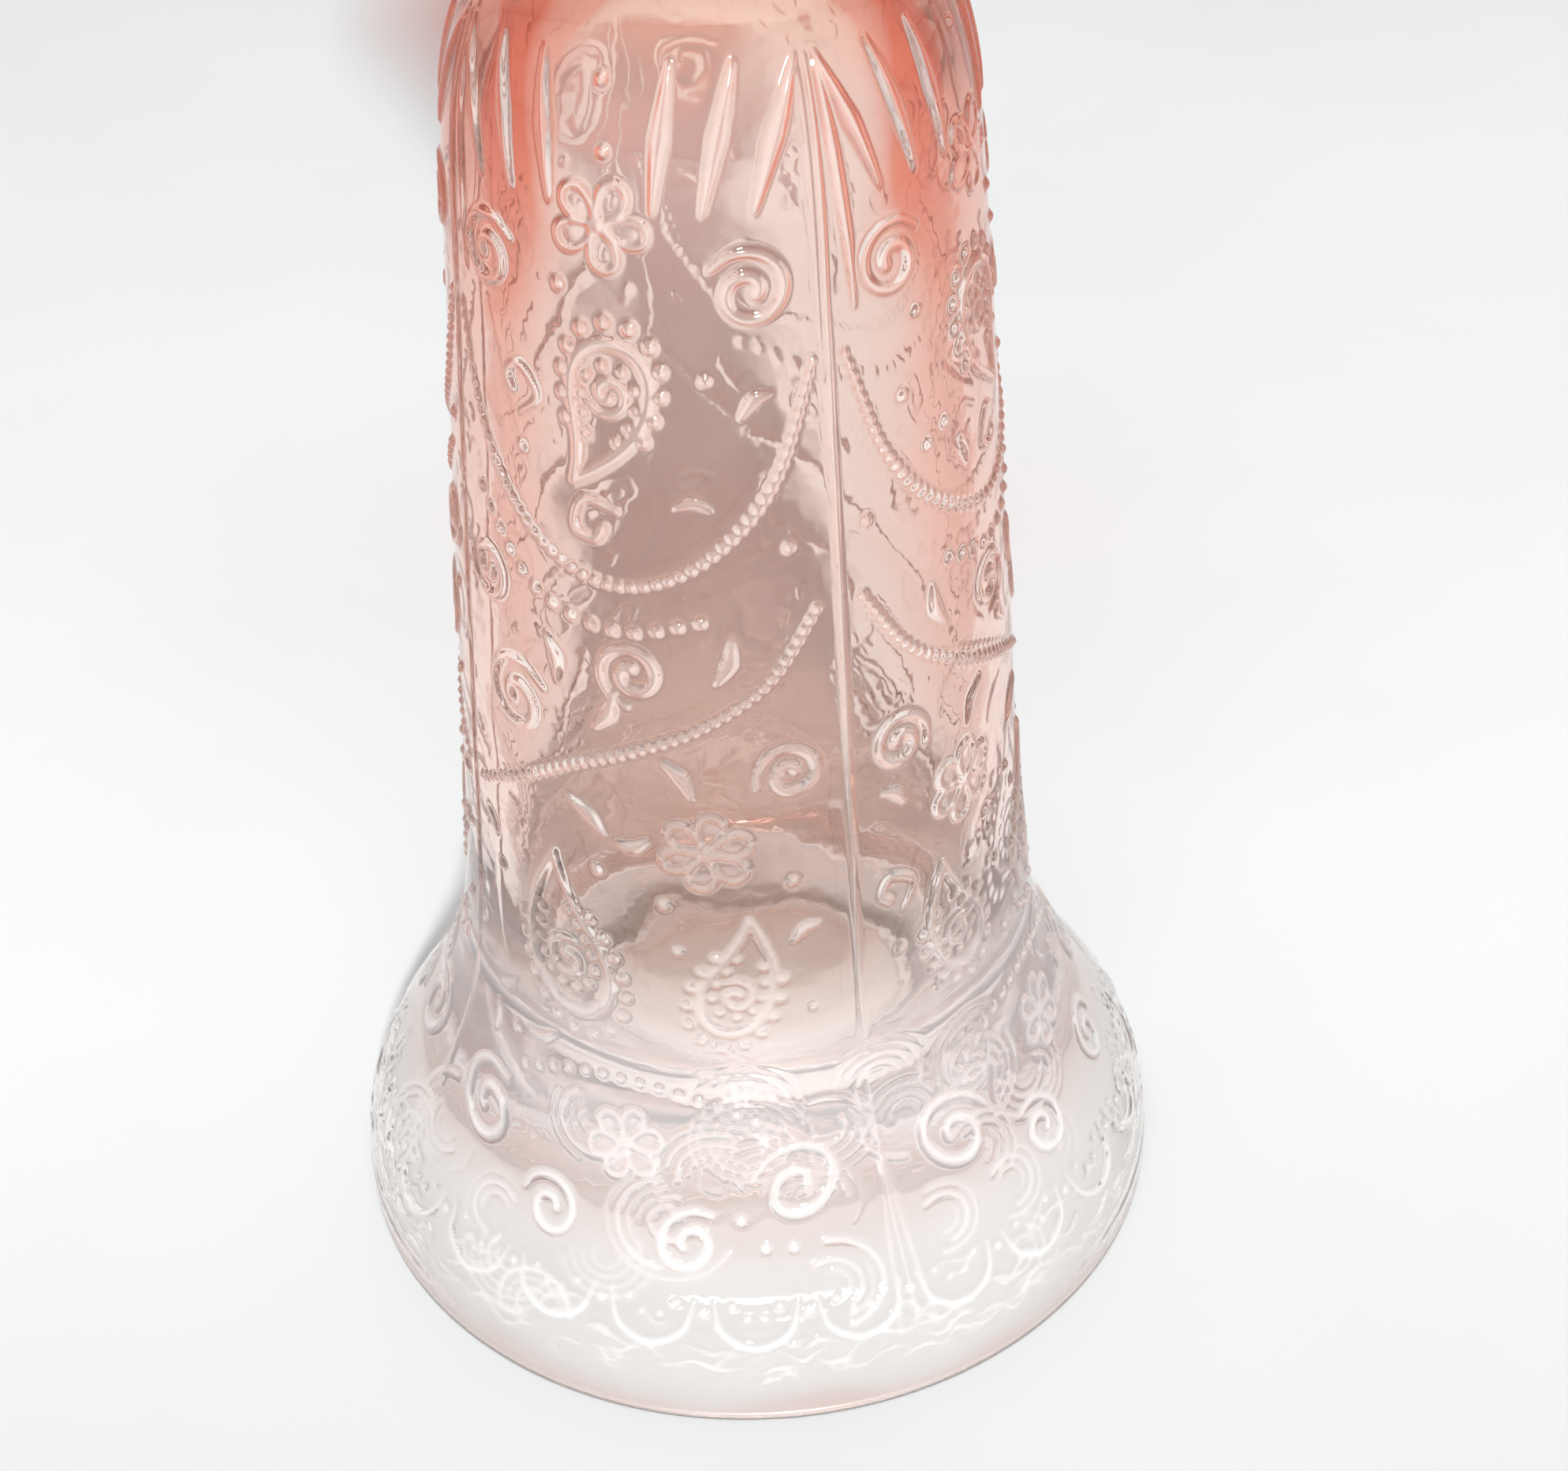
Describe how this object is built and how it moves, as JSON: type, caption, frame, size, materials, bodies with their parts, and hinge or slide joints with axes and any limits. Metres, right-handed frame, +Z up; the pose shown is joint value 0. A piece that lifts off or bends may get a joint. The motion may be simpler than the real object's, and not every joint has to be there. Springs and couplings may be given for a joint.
{
  "type": "bud vase",
  "caption": "Tall pressed-glass bud vase with a hollow bell-shaped foot, a tapering column with raised scrollwork and a flared mouth.",
  "frame": {"origin": "on the vase's axis, in the plane that the foot stands on", "axes": "+Z up along the vase's axis, towards the mouth; the mould seams lie on the X and Y axes"},
  "size_m": [0.088, 0.088, 0.2],
  "materials": {
    "clear_glass": "fire-polished pressed glass, almost colourless with a faint pink cast",
    "blush_glass": "pressed glass with raised ornament, pale blush pink",
    "rose_glass": "fire-polished pressed glass, deepening from rose to orange red"
  },
  "bodies": {
    "root": {"foot_rim": "clear_glass", "foot_skirt": "clear_glass", "cavity_floor": "blush_glass", "heel_ring": "blush_glass", "column_wall": "blush_glass", "shoulder_ring": "rose_glass", "neck_ring": "rose_glass", "mouth_flare": "rose_glass", "mouth_lip": "rose_glass", "mould_seams": "blush_glass"}
  },
  "joints": []
}
